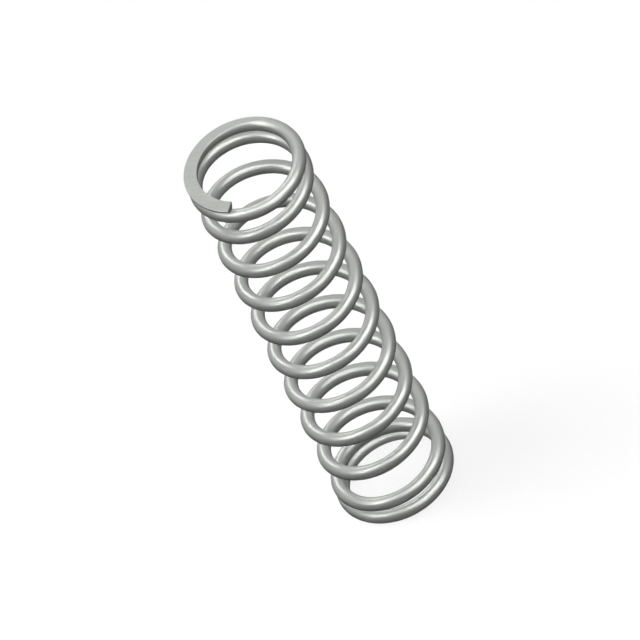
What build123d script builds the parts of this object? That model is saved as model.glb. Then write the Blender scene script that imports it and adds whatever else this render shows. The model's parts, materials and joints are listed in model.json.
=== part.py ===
from build123d import *

import os
from math import cos, pi, sin

# A compression spring: one length of round spring wire, coiled right-handed about +Z.
#
# The wire lies nearly flat for its first and last turn, so that each end closes on itself. Between
# them it climbs at a steady pitch, and where the two meet the pitch changes evenly over most of a
# turn. Both ends are ground square to the axis. That leaves a flat crescent for the spring to stand
# and push on, which is widest near the wire's tip and runs out after about half a turn.
#
# The lower ground face lies on z = 0, with the axis through the origin. The wire starts on the +X
# side, where the cut face of its lower tip looks along -Y.

# Driving sizes, in millimetres, and in turns of the wire.
wire_diameter = 1.6
mean_diameter = 12.5  # of the coil, measured to the middle of the wire
free_length = 56.5  # from one ground face to the other, with no load
total_turns = 11.52  # from tip to tip
closed_turns = 1.06  # wound at the closed pitch, at each end
easing_turns = 0.92  # over which the pitch changes, at each end
closed_gap = 0.135  # between the end turn and the next, before the coil opens
tip_thickness = 0.7  # of the metal that grinding leaves at each tip

# The path is a spline through points of the true curve, which it leaves by under a micrometre.
points_per_turn = 16

# Sizes that follow from them.
wire_radius = wire_diameter / 2
mean_radius = mean_diameter / 2
outside_diameter = mean_diameter + wire_diameter
inside_diameter = mean_diameter - wire_diameter
closed_pitch = wire_diameter + closed_gap
tip_height = tip_thickness - wire_radius  # of the wire's centre above the ground face
opening_start = closed_turns
closing_start = total_turns - closed_turns - easing_turns


def opened(turns, start):
    """How far a pitch change that begins at start has gone: 0 before it, 1 once it is over."""
    share = (turns - start) / easing_turns
    return min(max(share, 0), 1)


def opened_turns(turns, start):
    """The turns at full pitch that climb as far as the coil has since that change began."""
    share = opened(turns, start)
    past_the_change = max(turns - start - easing_turns, 0)
    return easing_turns * share**2 / 2 + past_the_change


def openness(turns):
    """How open the coil is at that turn: 0 where it is closed, 1 at its full pitch."""
    return opened(turns, opening_start) - opened(turns, closing_start)


def open_turns(turns):
    """The turns at full pitch that climb as far as the coil has opened by that turn."""
    return opened_turns(turns, opening_start) - opened_turns(turns, closing_start)


# The open turns share out the height that the closed pitch alone doesn't reach.
wire_climb = free_length - 2 * tip_height
open_pitch = closed_pitch + (wire_climb - closed_pitch * total_turns) / open_turns(total_turns)


def wire_centre(turns):
    """Where the wire's centre is, that many turns from the lower tip."""
    angle = 2 * pi * turns
    height = tip_height + closed_pitch * turns + (open_pitch - closed_pitch) * open_turns(turns)
    return Vector(mean_radius * cos(angle), mean_radius * sin(angle), height)


def wire_direction(turns):
    """The way the wire runs there: once round for each turn, and up by its pitch."""
    angle = 2 * pi * turns
    once_round = 2 * pi * mean_radius
    pitch = closed_pitch + (open_pitch - closed_pitch) * openness(turns)
    return Vector(-once_round * sin(angle), once_round * cos(angle), pitch)


def wire_path():
    """The wire's centreline from the lower tip to the upper one, as one smooth curve."""
    spans = round(total_turns * points_per_turn)
    stations = [total_turns * span / spans for span in range(spans + 1)]
    return Spline(
        [wire_centre(turns) for turns in stations],
        tangents=(wire_direction(0), wire_direction(total_turns)),
        tangent_scalars=(1, 1),
    )


def coiled_wire(path):
    """The wire as it comes off the coiler, with both ends cut square across it."""
    start = Plane(origin=wire_centre(0), x_dir=(1, 0, 0), z_dir=wire_direction(0))
    return sweep(start * Circle(wire_radius), path=path, is_frenet=True)


def ground_square(coil):
    """What is left of the coil between the two grinding wheels, which lie square to its axis."""
    clear_of_coil = 2 * outside_diameter
    between_wheels = Box(
        clear_of_coil,
        clear_of_coil,
        free_length,
        align=(Align.CENTER, Align.CENTER, Align.MIN),
    )
    return coil & between_wheels


path = wire_path()
spring = ground_square(coiled_wire(path))
spring.label = "compression_spring"

os.makedirs("parts", exist_ok=True)
export_step(spring, "parts/compression_spring.step")

print(f"outside {outside_diameter:.2f} mm, inside {inside_diameter:.2f} mm, {free_length:.1f} mm long")
print(f"open pitch {open_pitch:.3f} mm, coil index {mean_diameter / wire_diameter:.2f}")
print(f"wire {path.length:.1f} mm long, solid height {total_turns * wire_diameter:.1f} mm")
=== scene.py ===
# %% [markdown]
# A compression spring in Blender
#
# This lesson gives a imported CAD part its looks. The part is a compression spring: one length of
# round steel wire, coiled right-handed, with both ends closed and ground flat. The CAD model is
# the frame. It says how large the spring is and where it stands, and nothing here moves it.

# %% Load the frame
import json
from math import cos, pi, radians, sin

import bpy
import numpy as np
from mathutils import Matrix, Vector


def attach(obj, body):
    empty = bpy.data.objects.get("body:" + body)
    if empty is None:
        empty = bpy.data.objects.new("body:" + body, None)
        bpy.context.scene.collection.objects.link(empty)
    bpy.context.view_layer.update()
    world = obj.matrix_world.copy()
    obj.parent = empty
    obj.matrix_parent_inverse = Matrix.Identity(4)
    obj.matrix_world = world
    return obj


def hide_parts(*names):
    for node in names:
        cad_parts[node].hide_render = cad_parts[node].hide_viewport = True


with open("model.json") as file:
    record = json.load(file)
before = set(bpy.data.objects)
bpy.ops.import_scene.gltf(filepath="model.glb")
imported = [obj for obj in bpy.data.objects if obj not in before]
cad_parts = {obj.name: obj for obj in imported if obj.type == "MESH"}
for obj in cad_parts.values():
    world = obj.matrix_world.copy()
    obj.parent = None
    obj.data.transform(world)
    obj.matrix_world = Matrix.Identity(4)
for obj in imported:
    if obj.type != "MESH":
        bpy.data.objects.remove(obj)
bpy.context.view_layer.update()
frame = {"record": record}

# %% [markdown]
# The sizes of the spring
#
# A spring is ordered by its wire, its diameter, its free length and its turns. The first three
# are in the frame's record: the hole that guides the coil is as wide as its outside, the rod as
# its inside, and the upper seat lies at its free length. The wire fills what is left between hole
# and rod. The rest are the shop's own settings, repeated here because a record doesn't hold them.
# Everything is worked out in millimetres and turned to metres at the end.

# %% Read the sizes
mounts = {mount["name"]: mount for mount in frame["record"]["mounts"]}
outside_radius = mounts["guide_hole"]["dims"]["r_mm"]
inside_radius = mounts["guide_rod"]["dims"]["r_mm"]
free_length = 1000 * mounts["upper_seat"]["pos_m"][2]
wire_radius = (outside_radius - inside_radius) / 2
mean_radius = (outside_radius + inside_radius) / 2

total_turns = 11.52  # from tip to tip
closed_turns = 1.06  # wound at the closed pitch, at each end
easing_turns = 0.92  # over which the pitch changes, at each end
closed_gap = 0.135  # mm between the end turn and the next
tip_thickness = 0.7  # mm of metal that grinding leaves at each tip

closed_pitch = 2 * wire_radius + closed_gap
tip_height = tip_thickness - wire_radius
print(f"wire {2 * wire_radius:.2f} mm, mean diameter {2 * mean_radius:.2f} mm")
print(f"free length {free_length:.1f} mm")

# %% [markdown]
# The line that the wire follows
#
# The coiler bends the wire at a steady radius, and a wedge pushes it along the axis to set the
# pitch. The wedge stays back for the first turn, comes in evenly, holds, and goes back for the
# last turn. So the wire climbs slowly, then faster and faster, then steadily, and the other way
# round at the top. The height is a plain formula of the turns, so it is exact at any point, with
# no curve object to sample.

# %% Follow the wedge
def opened(turns, start):
    """How far the wedge has come in since it began to move at start, from 0 to 1."""
    return np.clip((turns - start) / easing_turns, 0, 1)


def opened_turns(turns, start):
    """The turns at full pitch that climb as far as the coil has since then."""
    return easing_turns * opened(turns, start) ** 2 / 2 + np.maximum(turns - start - easing_turns, 0)


opening_start = closed_turns
closing_start = total_turns - closed_turns - easing_turns


def open_turns(turns):
    """The turns at full pitch that climb as far as the coil has opened by that turn."""
    return opened_turns(turns, opening_start) - opened_turns(turns, closing_start)


left_to_climb = free_length - 2 * tip_height - closed_pitch * total_turns
added_pitch = left_to_climb / open_turns(total_turns)


def wire_height(turns):
    """The height of the wire's centre, that many turns from the lower tip."""
    return tip_height + closed_pitch * turns + added_pitch * open_turns(turns)


def wire_slope(turns):
    """The angle at which the wire climbs there."""
    openness = opened(turns, opening_start) - opened(turns, closing_start)
    return np.arctan2(closed_pitch + added_pitch * openness, 2 * pi * mean_radius)


steepest = np.degrees(wire_slope(total_turns / 2))
print(f"open pitch {closed_pitch + added_pitch:.3f} mm, steepest slope {steepest:.1f} degrees")

# %% [markdown]
# Where the rings of points go
#
# The skin of the wire is a row of rings, each square across the wire. They stand close enough
# that the coil's outline looks round at any zoom the picture needs. Grinding takes a crescent off
# each end, which narrows to nothing where the wire has climbed clear of the wheel. It narrows
# like a parabola's nose, so a few more rings crowd in there, or its end would look cut off. The
# first and last ring stand a hair inside the tips, which leaves room to round the cut edges.

# %% Place the rings
rings_per_turn = 120
crowding = np.array([0.0, 0.1, 0.3, 0.6])  # spacings from a crescent's end back to the added rings
edge_width = 0.04  # mm, of the rounding that tumbling leaves on a ground or cut edge
search_points = 2001


def crescent_end():
    """The turns after which the wire has climbed clear of the grinding wheel."""
    touching = np.linspace(0, closed_turns, search_points)
    clear = wire_height(touching) > wire_radius * np.cos(wire_slope(touching))
    return float(touching[clear][0])


ring_spacing = 1 / rings_per_turn
least_spacing = ring_spacing / 20  # of two rings that stand closer, the later one is left out
edge_turns = edge_width / (2 * pi * mean_radius)
ground_turns = crescent_end()
even_rings = np.linspace(edge_turns, total_turns - edge_turns, round(total_turns * rings_per_turn))
crowded_rings = ground_turns - ring_spacing * crowding
ring_turns = np.sort(np.concatenate([even_rings, crowded_rings, total_turns - crowded_rings]))
apart = np.diff(ring_turns, prepend=-1) > least_spacing
ring_turns = ring_turns[apart]
print(f"{len(ring_turns)} rings, and each crescent is {360 * ground_turns:.0f} degrees long")

# %% [markdown]
# The points of one ring
#
# A ring is a circle with a straight cut where the wheel passed. Its points come in four groups:
# the outer side, the top, the inner side and the bottom. The cuts fall between groups, so the
# edge of a crescent runs along the mesh's own edges and stays crisp. Where nothing was ground,
# the groups meet at 45 degrees and the points are evenly spaced. Between the two the corners
# slide round the wire over a short stretch.
#
# A point's place is written as out and up: how far it lies from the wire's centre, away from the
# coil's axis and square to that. Its normal is kept beside it, because the exact one is known:
# radial on the round skin and straight down or up on a crescent. The narrow faces between the two
# then shade like a rounded edge.

# %% Make the groups of points
side_points = 13
flat_points = 11
even_corner = pi / 4
least_corner = 0.03  # radians, so that no two points of a ring fall together
sliding_turns = 0.15


def corner_angles(gap, turns_past):
    """From straight up or down to a group's corner, and whether the wheel cut the wire there.

    gap is how far the wire's centre lies from the wheel, and turns_past how far this is past the
    crescent's end."""
    cut = np.arccos(np.clip(gap / wire_radius, -1, 1))
    slid = even_corner * np.clip(turns_past / sliding_turns, 0, 1)
    return np.maximum(np.maximum(cut, slid), least_corner), cut > least_corner


def edge_widths(corner):
    """The width of the rounded edge. Where a crescent narrows, it is a third of half its width."""
    return np.minimum(edge_width, wire_radius * np.sin(corner) / 3)


def flat_group(corner, is_cut, facing):
    """The points of the top or bottom of each ring: places out and up, and normals the same way.

    facing is 1 at the top, where the points run inwards, and -1 at the bottom, where they run
    outwards."""
    half_width = wire_radius * np.sin(corner)
    chord = (half_width - edge_widths(corner))[:, None] * np.linspace(-1, 1, flat_points)
    level = facing * wire_radius * np.cos(corner)[:, None] + 0 * chord
    angle = corner[:, None] * np.linspace(-1, 1, flat_points + 2)[1:-1]
    arc = np.stack([np.sin(angle), facing * np.cos(angle)], 2)
    straight = np.stack([0 * chord, facing + 0 * chord], 2)
    cut = is_cut[:, None, None]
    places = np.where(cut, np.stack([chord, level], 2), wire_radius * arc)
    normals = np.where(cut, straight, arc)
    return places[:, ::-facing], normals[:, ::-facing]


def side_group(start, end):
    """The points between two corner angles, which are measured from straight out."""
    angle = start[:, None] + (end - start)[:, None] * np.linspace(0, 1, side_points)
    arc = np.stack([np.cos(angle), np.sin(angle)], 2)
    return wire_radius * arc, arc


print(f"{2 * (side_points + flat_points)} points in the four groups of a ring")

# %% Put the groups together
slope = wire_slope(ring_turns)
height = wire_height(ring_turns)
low_corner, low_cut = corner_angles(height / np.cos(slope), ring_turns - ground_turns)
high_corner, high_cut = corner_angles(
    (free_length - height) / np.cos(slope), total_turns - ground_turns - ring_turns
)
low_edge = np.where(low_cut, edge_widths(low_corner) / wire_radius, 0)
high_edge = np.where(high_cut, edge_widths(high_corner) / wire_radius, 0)

outer_start = low_corner + low_edge - pi / 2
outer_end = pi / 2 - high_corner - high_edge
groups = [
    side_group(outer_start, outer_end),
    flat_group(high_corner, high_cut, facing=1),
    side_group(pi - outer_end, pi - outer_start),
    flat_group(low_corner, low_cut, facing=-1),
]
ring_places = np.concatenate([places for places, normals in groups], 1)
ring_normals = np.concatenate([normals for places, normals in groups], 1)
ring_size = ring_places.shape[1]
print(f"{low_cut.sum()} rings are cut below and {high_cut.sum()} above")

# %% [markdown]
# From rings to a skin
#
# Each ring is carried to its place on the coil. Its own axes are straight out from the coil's
# axis, and the direction square to that and to the wire. Two more rings close the tips: the same
# points drawn in by a little less than the edge's width, with normals along the wire. The wheel
# cuts level, however the wire climbs, so the normals on a crescent are set straight down or up,
# and no point is left outside the two ground planes.

# %% Carry the rings to the coil
def ring_axes(turns):
    """The directions out and up of the rings, and the way the wire runs."""
    angle = 2 * pi * turns
    slope = wire_slope(turns)
    zero = np.zeros_like(turns)
    out = np.stack([np.cos(angle), np.sin(angle), zero], 1)
    up = np.stack([np.sin(slope) * np.sin(angle), -np.sin(slope) * np.cos(angle), np.cos(slope)], 1)
    along = np.stack([-np.cos(slope) * np.sin(angle), np.cos(slope) * np.cos(angle), np.sin(slope)], 1)
    return out, up, along


def carried(flat, out, up):
    """Pairs out and up as directions in space."""
    return flat[:, :, :1] * out[:, None] + flat[:, :, 1:] * up[:, None]


def wire_centres(turns):
    """Where the middle of the wire lies, that many turns from the lower tip."""
    out = ring_axes(turns)[0]
    return mean_radius * out + wire_height(turns)[:, None] * np.array([0, 0, 1])


tip_turns = np.array([0, total_turns])
tip_inset = 0.7 * edge_width
tip_places = (ring_places - tip_inset * ring_normals)[[0, -1]]
tip_out, tip_up, tip_along = ring_axes(tip_turns)
tips = wire_centres(tip_turns)[:, None] + carried(tip_places, tip_out, tip_up)
tip_facing = tip_along * np.array([[-1], [1]])

out, up = ring_axes(ring_turns)[:2]
skin = wire_centres(ring_turns)[:, None] + carried(ring_places, out, up)
skin_normals = carried(ring_normals, out, up)
skin_normals[low_cut[:, None] & (ring_normals[:, :, 1] == -1)] = (0, 0, -1)
skin_normals[high_cut[:, None] & (ring_normals[:, :, 1] == 1)] = (0, 0, 1)

points = np.concatenate([tips[:1], skin, tips[1:]]).reshape(-1, 3)
points[:, 2] = np.clip(points[:, 2], 0, free_length)
normals = np.concatenate([
    np.broadcast_to(tip_facing[0], (1, ring_size, 3)),
    skin_normals,
    np.broadcast_to(tip_facing[1], (1, ring_size, 3)),
]).reshape(-1, 3)
print(f"the skin reaches from {points[:, 2].min():.3f} to {points[:, 2].max():.3f} mm up")

# %% [markdown]
# Faces between the rings
#
# A mesh is a list of points and a list of faces, and each face names its corners by number. The
# points are numbered ring after ring, so one sum gives the four corners of every face between two
# rings. One more face, with all of a tip's points, fills each tip. The normals go in last. Blender
# would work them out from the faces, but the exact ones shade the round wire and its level
# crescents without a trace of the mesh.

# %% Make the mesh
row_count = len(ring_turns) + 2
first = np.arange(row_count - 1)[:, None] * ring_size + np.arange(ring_size)
right = np.arange(row_count - 1)[:, None] * ring_size + (np.arange(ring_size) + 1) % ring_size
bands = np.stack([first, first + ring_size, right + ring_size, right], 2)
lower_tip = list(range(ring_size))
upper_tip = list(range(len(points) - 1, len(points) - 1 - ring_size, -1))
faces = [lower_tip] + bands.reshape(-1, 4).tolist() + [upper_tip]

skin_mesh = bpy.data.meshes.new("coiled_wire")
skin_mesh.from_pydata((points / 1000).tolist(), [], faces)
skin_mesh.shade_smooth()
skin_mesh.normals_split_custom_set_from_vertices(normals.tolist())
wire = bpy.data.objects.new("coiled_wire", skin_mesh)
bpy.context.scene.collection.objects.link(wire)
print(f"{len(skin_mesh.vertices)} points and {len(skin_mesh.polygons)} faces")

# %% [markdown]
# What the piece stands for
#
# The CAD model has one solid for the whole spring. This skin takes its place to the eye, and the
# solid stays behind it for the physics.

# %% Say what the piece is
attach(wire, "root")
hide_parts("compression_spring")
print(f"{wire.name} is the piece that stands for the solid")

# %% [markdown]
# Which tool made each face
#
# A finished spring shows three surfaces. The die made the round skin, long before it was coiled.
# The grinding wheels made the two crescents, and the cutter made the two tips. Each gets its own
# material. The faces are numbered in the order in which they were made: the lower tip, then ring
# after ring, then the upper tip. In a ring, the top and the bottom group begin after a side group.
# The narrow faces at a crescent's edge were rounded by tumbling and look like the wire beside them.

# %% Sort the faces
drawn, ground, cut = range(3)
maker = np.full(bands.shape[:2], drawn)
top = np.arange(side_points, side_points + flat_points - 1)
bottom = top + side_points + flat_points
for group, is_cut in ((top, high_cut), (bottom, low_cut)):
    rows = 1 + np.flatnonzero(is_cut[:-1] & is_cut[1:])
    maker[np.ix_(rows, group)] = ground
maker[[0, -1]] = cut
makers = np.concatenate([[cut], maker.ravel(), [cut]])
skin_mesh.polygons.foreach_set("material_index", makers)
print("faces drawn, ground and cut:", np.bincount(makers))

# %% [markdown]
# The wire laid out straight
#
# The die's marks run along the wire, and they bent with it when it was coiled. A pattern that
# follows them needs the place of each point on the wire before coiling: how far out and up it is
# from the middle, and how far along. These three numbers are stored on the mesh, in millimetres,
# for the materials to read. Because they are a place in space, and not on a sheet wrapped around
# the wire, no pattern made from them has a seam.

# %% Store each point's place on the straight wire
row_turns = np.concatenate([tip_turns[:1], ring_turns, tip_turns[1:]])
centres = wire_centres(row_turns)
steps = np.linalg.norm(np.diff(centres, axis=0), axis=1)
row_along = np.concatenate([[0], np.cumsum(steps)])
row_places = np.concatenate([tip_places[:1], ring_places, tip_places[1:]])
along_column = np.broadcast_to(row_along[:, None, None], row_places.shape[:2] + (1,))
straight_places = np.concatenate([row_places, along_column], 2)
straight = skin_mesh.attributes.new("straight_wire", "FLOAT_VECTOR", "POINT")
straight.data.foreach_set("vector", straight_places.astype(np.float32).ravel())
wire_length = row_along[-1]
print(f"the wire was {wire_length:.0f} mm long before it was coiled")

# %% [markdown]
# A map of the surface
#
# Other programs don't know Blender's nodes, so for them the finished patterns must be painted onto a
# square picture, and each face needs its place on that picture. Nearly half a metre of wire as one
# strip would be 90 times longer than wide, so the wire is cut into eight strips, and these lie one
# above the other. The two tips get a small disc each below them.

# %% Lay the wire out on a square map
strips = 8
strip_length = wire_length / strips
margin = 0.01  # of the map's width, at each end of a strip
tip_room = 0.045  # of the map's height, for the discs
strip_height = (1 - tip_room) / strips
strip_gap = 0.02  # of a strip's height, above and below it

band_middle = (row_along[:-1] + row_along[1:]) / 2
strip = np.floor(band_middle / strip_length).astype(int).clip(0, strips - 1)
column = np.arange(ring_size)


def across_map(along):
    """From a place along the wire to one across the strip that its band is in."""
    return margin + (1 - 2 * margin) * (along / strip_length - strip)


def up_map(column):
    """From a place around the ring to one up the strip."""
    share = strip_gap + (1 - 2 * strip_gap) * column / ring_size
    return tip_room + (strip[:, None] + share) * strip_height


band_low = up_map(column)
band_high = up_map(column + 1)
band_start = np.broadcast_to(across_map(row_along[:-1])[:, None], band_low.shape)
band_end = np.broadcast_to(across_map(row_along[1:])[:, None], band_low.shape)
band_map = np.stack([
    np.stack([band_start, band_low], 2),
    np.stack([band_end, band_low], 2),
    np.stack([band_end, band_high], 2),
    np.stack([band_start, band_high], 2),
], 2)
print(f"{strips} strips, with {strip_length:.0f} mm of wire each")

# %% Add the tips and store the map
disc_scale = (1 - 2 * margin) / strip_length  # as along a strip
lower_disc = 0.03  # of the map's width, from its edge to the disc's middle
upper_disc = 0.08
disc_middles = np.array([[lower_disc, tip_room / 2], [upper_disc, tip_room / 2]])
tip_discs = disc_middles[:, None] + disc_scale * tip_places
corner_places = np.concatenate([tip_discs[0], band_map.reshape(-1, 2), tip_discs[1][::-1]])
bake_map = skin_mesh.uv_layers.new(name="OFBake")
bake_map.uv.foreach_set("vector", corner_places.astype(np.float32).ravel())

map_pixels = 1024
print(f"one millimetre of wire is {map_pixels * disc_scale:.0f} pixels on a map of {map_pixels}")

# %% [markdown]
# Colours and nodes
#
# Every colour is written as an sRGB hex code, as a picture program shows it, and turned to the
# linear light that Blender works in. One small function adds a node and joins it up.

# %% Make the helpers for materials
def colour(code):
    """The linear colour of an sRGB hex code, by the formula of the sRGB standard."""
    shares = [int(code[place:place + 2], 16) / 255 for place in (1, 3, 5)]
    linear = [
        share / 12.92 if share <= 0.04045 else ((share + 0.055) / 1.055) ** 2.4 for share in shares
    ]
    return linear + [1]


def add_node(tree, kind, sockets=None, output=None, **settings):
    """Adds a node and returns the output of that name, or the first that it shows.

    sockets maps names or numbers of inputs to a value each, or to another node's output."""
    node = tree.nodes.new(kind)
    for name, value in settings.items():
        setattr(node, name, value)
    for name, value in (sockets or {}).items():
        named = [socket for socket in node.inputs if socket.enabled and socket.name == name]
        socket = node.inputs[name] if isinstance(name, int) else named[0]
        if isinstance(value, bpy.types.NodeSocket):
            tree.links.new(value, socket)
        else:
            socket.default_value = value
    shown = [socket for socket in node.outputs if socket.enabled and output in (None, socket.name)]
    return shown[0] if shown else None


def new_material(name):
    """An empty material and its nodes."""
    material = bpy.data.materials.new(name)
    material.use_nodes = True
    material.node_tree.nodes.clear()
    return material, material.node_tree


print(f"the middle grey #808080 is {colour('#808080')[0]:.3f} in linear light")

# %% [markdown]
# Grain of a given size
#
# Die lines, coat patches, scratches and torn lumps are one kind of noise with lumps of different
# sizes, most of them drawn out one way. The place is divided by the size of a lump along each
# axis, so that the sizes can be given in millimetres. The noise itself mostly stays between 0.3
# and 0.7, and the last node stretches that to the whole range.

# %% Make the grain
noise_low = 0.3
noise_high = 0.7


def grain(tree, place, sizes):
    """A pattern between 0 and 1 whose lumps have those sizes in mm along the place's three axes."""
    scale = [1 / size for size in sizes]
    stretched = add_node(tree, "ShaderNodeMapping", {"Vector": place, "Scale": scale})
    lumps = add_node(tree, "ShaderNodeTexNoise", {
        "Vector": stretched, "Scale": 1.0, "Detail": 2.0, "Roughness": 0.6,
    })
    return add_node(tree, "ShaderNodeMapRange", {
        "Value": lumps, "From Min": noise_low, "From Max": noise_high,
    })


print(f"noise from {noise_low} to {noise_high} is stretched to 0 to 1")

# %% [markdown]
# Drawn spring wire
#
# Spring wire is carbon steel, pulled cold through a row of dies. Before that it is given a thin
# grey coat of zinc phosphate, which carries the drawing soap, and the dies burnish coat and soap
# onto the steel. So the wire isn't a mirror like bare metal. It is an even, satin grey with a soft
# highlight, and only part of the metal shows through: that is why its metallic value is low. The
# rough little crystals also keep it from gleaming at a glancing angle, so its reflection is tinted
# darker there.
#
# Three things break the grey up. The die leaves fine lines along the wire. They are about 0.05 mm
# apart, too fine to show here, and are drawn 0.2 mm apart. The coat is a little thicker in some
# long patches than in others. And the pins that bent the wire rubbed a narrow track along the
# outside of the coil, where the coat is thinner and smoother.

# %% Make the material of the wire
line_sizes = (0.2, 0.2, 12)  # mm out, up and along the wire
patch_sizes = (1.2, 1.2, 20)
line_depth = 0.008  # mm
track_edge = 0.88 * wire_radius  # mm out from the wire's middle
track_middle = 0.98 * wire_radius

drawn_steel, tree = new_material("drawn_spring_steel")
on_wire = add_node(tree, "ShaderNodeAttribute", output="Vector", attribute_name="straight_wire")
die_lines = grain(tree, on_wire, line_sizes)
coat_patches = grain(tree, on_wire, patch_sizes)
place_out = add_node(tree, "ShaderNodeSeparateXYZ", {"Vector": on_wire}, output="X")
pin_track = add_node(tree, "ShaderNodeMapRange", {
    "Value": place_out, "From Min": track_edge, "From Max": track_middle,
}, interpolation_type="SMOOTHSTEP")
thinness = add_node(tree, "ShaderNodeMix", {
    "Factor": 0.5, "A": die_lines, "B": pin_track,
}, data_type="FLOAT")
tone = add_node(tree, "ShaderNodeMix", {
    "Factor": 0.6, "A": die_lines, "B": coat_patches,
}, data_type="FLOAT")
coat_colour = add_node(tree, "ShaderNodeMix", {
    "Factor": tone, "A": colour("#9D9F9C"), "B": colour("#A6A8A5"),
}, data_type="RGBA")
metal_share = add_node(tree, "ShaderNodeMapRange", {
    "Value": thinness, "To Min": 0.17, "To Max": 0.25,
})
roughness = add_node(tree, "ShaderNodeMapRange", {
    "Value": thinness, "To Min": 0.38, "To Max": 0.32,
})
skin_tilt = add_node(tree, "ShaderNodeBump", {"Height": die_lines, "Distance": line_depth / 1000})
surface = add_node(tree, "ShaderNodeBsdfPrincipled", {
    "Base Color": coat_colour,
    "Metallic": metal_share,
    "Roughness": roughness,
    "Specular IOR Level": 0.0,
    "Specular Tint": colour("#404040"),
    "Normal": skin_tilt,
})
add_node(tree, "ShaderNodeOutputMaterial", {"Surface": surface})
skin_mesh.materials.append(drawn_steel)
print(f"{drawn_steel.name} has {len(tree.nodes)} nodes")

# %% [markdown]
# Ground steel
#
# The coiled springs stand in the holes of a turning carrier, which takes them between two large
# grinding wheels. Grinding takes the coat off, so the finished spring is dipped again, against
# rust. That coat is thinner than the drawn one, so a little more metal and the fine scratches show
# through. The crescents lie level and catch more light than most of the wire. Their own grey is
# therefore a little darker, and the two come out alike.
#
# A scratch is a short piece of an arc around the wheel's middle. The spring turns in its hole as
# it passes, so the arcs cross. They are 0.05 mm apart on the real face, and are drawn 0.25 mm
# apart so that they show.

# %% Make the material of the crescents
scratch_sizes = (0.25, 5, 1)  # mm across a scratch and along it; the third way nothing changes
scratch_depth = 0.005  # mm
first_middle = (170, 60, 0)  # mm from the spring's axis to the wheel's middle
later_middle = (-40, 180, 0)  # the same, after the spring has turned in its hole


def grinding_scratches(tree, place, wheel_middle):
    """Scratches that run around the middle of a grinding wheel, on a place in mm."""
    from_middle = add_node(tree, "ShaderNodeVectorMath", {
        0: place, 1: wheel_middle,
    }, operation="DISTANCE", output="Value")
    tangent = Vector((-wheel_middle[1], wheel_middle[0], 0)).normalized()
    along = add_node(tree, "ShaderNodeVectorMath", {
        0: place, 1: tangent,
    }, operation="DOT_PRODUCT", output="Value")
    on_arc = add_node(tree, "ShaderNodeCombineXYZ", {"X": from_middle, "Y": along})
    return grain(tree, on_arc, scratch_sizes)


ground_steel, tree = new_material("ground_spring_steel")
in_metres = add_node(tree, "ShaderNodeTexCoord", output="Object")
in_mm = add_node(tree, "ShaderNodeVectorMath", {0: in_metres, "Scale": 1000.0}, operation="SCALE")
scratches = add_node(tree, "ShaderNodeMix", {
    "Factor": 0.3,
    "A": grinding_scratches(tree, in_mm, first_middle),
    "B": grinding_scratches(tree, in_mm, later_middle),
}, data_type="FLOAT")
steel_colour = add_node(tree, "ShaderNodeMix", {
    "Factor": scratches, "A": colour("#858784"), "B": colour("#8F918E"),
}, data_type="RGBA")
metal_share = add_node(tree, "ShaderNodeMapRange", {
    "Value": scratches, "To Min": 0.22, "To Max": 0.34,
})
roughness = add_node(tree, "ShaderNodeMapRange", {
    "Value": scratches, "To Min": 0.45, "To Max": 0.35,
})
face_tilt = add_node(tree, "ShaderNodeBump", {"Height": scratches, "Distance": scratch_depth / 1000})
surface = add_node(tree, "ShaderNodeBsdfPrincipled", {
    "Base Color": steel_colour,
    "Metallic": metal_share,
    "Roughness": roughness,
    "Specular IOR Level": 0.0,
    "Specular Tint": colour("#404040"),
    "Normal": face_tilt,
})
add_node(tree, "ShaderNodeOutputMaterial", {"Surface": surface})
skin_mesh.materials.append(ground_steel)
print(f"{ground_steel.name} has {len(tree.nodes)} nodes")

# %% [markdown]
# Cut steel, painted dark as shade
#
# The coiler's cutter chops the wire off from outside the coil. It shears the outer part of the
# wire smoothly, in lines that run the way the blade went, and the inner part then tears. The line
# between the two is ragged. A torn face is rough and scatters the light. The tips' grey is painted
# far darker than the wire's: that is painted shade, for the shade that the tips lie in.

# %% Make the material of the tips
blade_line_sizes = (1.5, 0.12, 1)  # mm out, up and along the wire
lump_sizes = (0.18, 0.18, 0.18)
raggedness = 0.15  # mm that the line strays either way
sheared_from = 0.15  # mm out from the wire's middle
torn_from = -0.05
torn_depth = 0.02  # mm

cut_steel, tree = new_material("cut_spring_steel")
on_wire = add_node(tree, "ShaderNodeAttribute", output="Vector", attribute_name="straight_wire")
blade_lines = grain(tree, on_wire, blade_line_sizes)
torn_lumps = grain(tree, on_wire, lump_sizes)
place_out = add_node(tree, "ShaderNodeSeparateXYZ", {"Vector": on_wire}, output="X")
straying = add_node(tree, "ShaderNodeMapRange", {
    "Value": torn_lumps, "To Min": -raggedness, "To Max": raggedness,
})
strayed_out = add_node(tree, "ShaderNodeMath", {0: place_out, 1: straying}, operation="ADD")
torn = add_node(tree, "ShaderNodeMapRange", {
    "Value": strayed_out, "From Min": sheared_from, "From Max": torn_from,
})
relief = add_node(tree, "ShaderNodeMix", {
    "Factor": torn, "A": blade_lines, "B": torn_lumps,
}, data_type="FLOAT")
# Painted shade: the tips' grey is far darker than the wire's and stands in for the shade that the tip
# faces lie in.
painted_shade_tip_colour = add_node(tree, "ShaderNodeMix", {
    "Factor": relief, "A": colour("#50524F"), "B": colour("#5E605D"),
}, data_type="RGBA")
roughness = add_node(tree, "ShaderNodeMapRange", {"Value": torn, "To Min": 0.45, "To Max": 0.65})
face_tilt = add_node(tree, "ShaderNodeBump", {"Height": relief, "Distance": torn_depth / 1000})
surface = add_node(tree, "ShaderNodeBsdfPrincipled", {
    "Base Color": painted_shade_tip_colour,
    "Metallic": 0.6,
    "Roughness": roughness,
    "Specular IOR Level": 0.2,
    "Normal": face_tilt,
})
add_node(tree, "ShaderNodeOutputMaterial", {"Surface": surface})
skin_mesh.materials.append(cut_steel)
print(f"{cut_steel.name} has {len(tree.nodes)} nodes")

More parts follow.
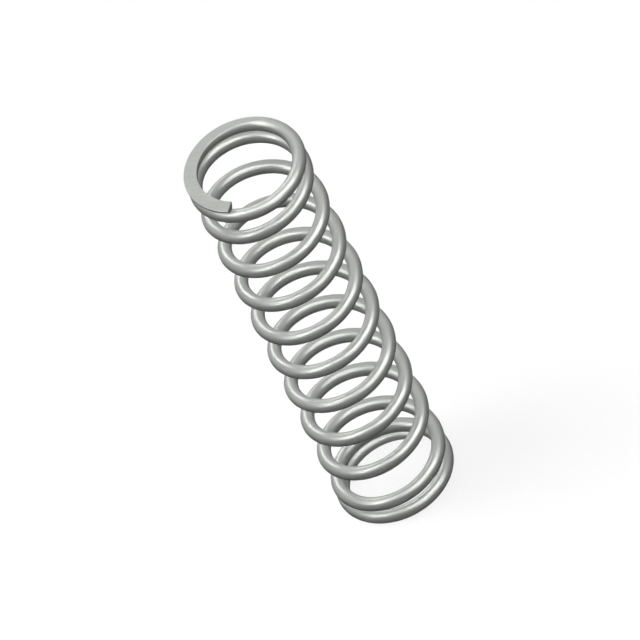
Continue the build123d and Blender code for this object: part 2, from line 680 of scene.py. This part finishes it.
# %% [markdown]
# Soft light from all sides
#
# A photographer would hang large white softboxes around a small bright part. A sun lamp with a
# wide angle does the same here and lights every turn alike. Each is given by where it hangs, seen
# from the spring: its turn from +X and its height above the floor, both in degrees. Its strength
# is a share of the light under which white paper looks white. The turns of a coil would shade each
# other in stripes, which many softboxes wash out, so only the weaker of the two in the ceiling
# casts shadows. It puts a faint soft shadow on the floor.
#
# The bright bands along the wire come from three pairs of strip lights, one to the right of the
# camera, one on its own side and one to its left. They hang where the wire shows them to the
# camera, one above the other, so that a band stays even along a turn. In a studio, lights that
# bright would also wash out the grey, so here they are kept out of the scattered light. They draw
# their own reflection and nothing else.

# %% Hang the lamps
softboxes = {
    "ceiling_front": (-66, 80, 0.50),
    "ceiling_back": (120, 72, 0.14),
    "left": (113, 52, 0.14),
    "rim": (50, 32, 0.62),
}
strip_lights = {
    "right_strip_high": (-67, 65, 0.96),
    "right_strip_low": (-73, 41, 0.70),
    "near_strip_high": (-139, 64, 0.82),
    "near_strip_low": (-114, 43, 0.59),
    "left_strip_high": (133, 66, 0.75),
    "left_strip_low": (148, 44, 0.79),
}
lamp_angle = radians(20)
light_for_white = pi  # W/m2, from straight above
shadow_lamp = "ceiling_back"


def aim(turn, height):
    """The unit vector to a place at that turn from +X and that height above the floor."""
    return Vector((cos(turn) * cos(height), sin(turn) * cos(height), sin(height)))


for name, (turn, height, strength) in (softboxes | strip_lights).items():
    light = bpy.data.lights.new(name, "SUN")
    light.energy = light_for_white * strength
    light.angle = lamp_angle
    light.use_shadow = name == shadow_lamp
    lamp = bpy.data.objects.new(name, light)
    lamp.visible_diffuse = name in softboxes
    towards_lamp = aim(radians(turn), radians(height))
    lamp.matrix_world = towards_lamp.to_track_quat("Z", "Y").to_matrix().to_4x4()
    bpy.context.scene.collection.objects.link(lamp)
floor_light = sum(strength * sin(radians(height)) for turn, height, strength in softboxes.values())
print(f"light on the floor: {floor_light:.2f} of the light for white paper")

# %% [markdown]
# White paper all around
#
# The spring lies before plain white, and a shiny part shows its surroundings, so what the camera
# and the reflections look at is white. It isn't made white by more light, which would wash out the
# steel. The floor adds just the glow that its paper lacks, and the world is white to those rays
# alone. What light the floor scatters back up is kept low, as it is from a small sheet on a dark
# table, so that the undersides of the wire stay dark.

# %% Lay the paper
def looked_at(tree):
    """1 for a ray from the camera, in a reflection or through glass, and 0 for scattered light."""
    total = 0.0
    for ray in ("Is Camera Ray", "Is Glossy Ray", "Is Transmission Ray"):
        is_ray = add_node(tree, "ShaderNodeLightPath", output=ray)
        total = add_node(tree, "ShaderNodeMath", {0: total, 1: is_ray}, operation="ADD", use_clamp=True)
    return total


floor_half = 1.0  # metres
square = ((-1, -1), (1, -1), (1, 1), (-1, 1))
floor_mesh = bpy.data.meshes.new("floor")
floor_mesh.from_pydata([(x * floor_half, y * floor_half, 0) for x, y in square], [], [(0, 1, 2, 3)])
floor = bpy.data.objects.new("floor", floor_mesh)
bpy.context.scene.collection.objects.link(floor)

paper_share = 0.6  # of the light that the paper sends back to the eye
scattered_share = 0.02  # of the light that it scatters onto the spring
glow_share = 1.0 - paper_share * floor_light
paper, tree = new_material("white_paper")
looking = looked_at(tree)
paper_colour = add_node(tree, "ShaderNodeMix", {
    "Factor": looking, "A": [scattered_share] * 3 + [1], "B": [paper_share] * 3 + [1],
}, data_type="RGBA")
sheet = add_node(tree, "ShaderNodeBsdfDiffuse", {"Color": paper_colour})
glow_strength = add_node(tree, "ShaderNodeMath", {0: looking, 1: glow_share}, operation="MULTIPLY")
glow = add_node(tree, "ShaderNodeEmission", {"Color": colour("#FFFFFF"), "Strength": glow_strength})
both = add_node(tree, "ShaderNodeAddShader", {0: sheet, 1: glow})
add_node(tree, "ShaderNodeOutputMaterial", {"Surface": both})
floor_mesh.materials.append(paper)
print(f"the paper glows with {glow_share:.2f} of white")

# %% Surround the spring with white
fill_light = 0.02  # of white, which the world sheds on the spring
world = bpy.data.worlds.new("white_surroundings")
world.use_nodes = True
bpy.context.scene.world = world
tree = world.node_tree
tree.nodes.clear()
brightness = add_node(tree, "ShaderNodeMix", {
    "Factor": looked_at(tree), "A": fill_light, "B": 1.0,
}, data_type="FLOAT")
surround = add_node(tree, "ShaderNodeBackground", {"Color": colour("#FFFFFF"), "Strength": brightness})
add_node(tree, "ShaderNodeOutputWorld", {"Surface": surround})
bpy.context.scene.view_settings.view_transform = "Standard"
print(f"{world.name} has {len(tree.nodes)} nodes")

# %% [markdown]
# The camera
#
# The photograph looks down at 46 degrees on a spring that leans across the picture. The spring
# here stands upright, so the camera leans instead. There is no perspective in the photograph: the
# turns at both ends are equally large, so the camera is orthographic. Its angles come from fitting
# this model's outline to the photograph's.

# %% Aim the camera
camera_turn = radians(221.33)  # from +X
camera_height = radians(46.04)  # above the floor
camera_roll = radians(26.12)
view_width = 71.72  # mm across the picture
aim_right = -0.011  # mm from the spring's middle to the picture's
aim_up = 0.022  # mm
camera_distance = 0.5  # metres

towards_camera = aim(camera_turn, camera_height)
level = Vector((-sin(camera_turn), cos(camera_turn), 0))
upright = towards_camera.cross(level)
picture_right = cos(camera_roll) * level - sin(camera_roll) * upright
picture_up = sin(camera_roll) * level + cos(camera_roll) * upright
middle = Vector((0, 0, free_length / 2))
aimed_at = (middle + aim_right * picture_right + aim_up * picture_up) / 1000
turned = Matrix((picture_right, picture_up, towards_camera)).transposed().to_4x4()

lens = bpy.data.cameras.new("camera")
lens.type = "ORTHO"
lens.ortho_scale = view_width / 1000
camera = bpy.data.objects.new("camera", lens)
camera.matrix_world = Matrix.Translation(aimed_at + camera_distance * towards_camera) @ turned
bpy.context.scene.collection.objects.link(camera)
bpy.context.scene.camera = camera
print("the camera stands at", [round(value, 3) for value in camera.matrix_world.translation])
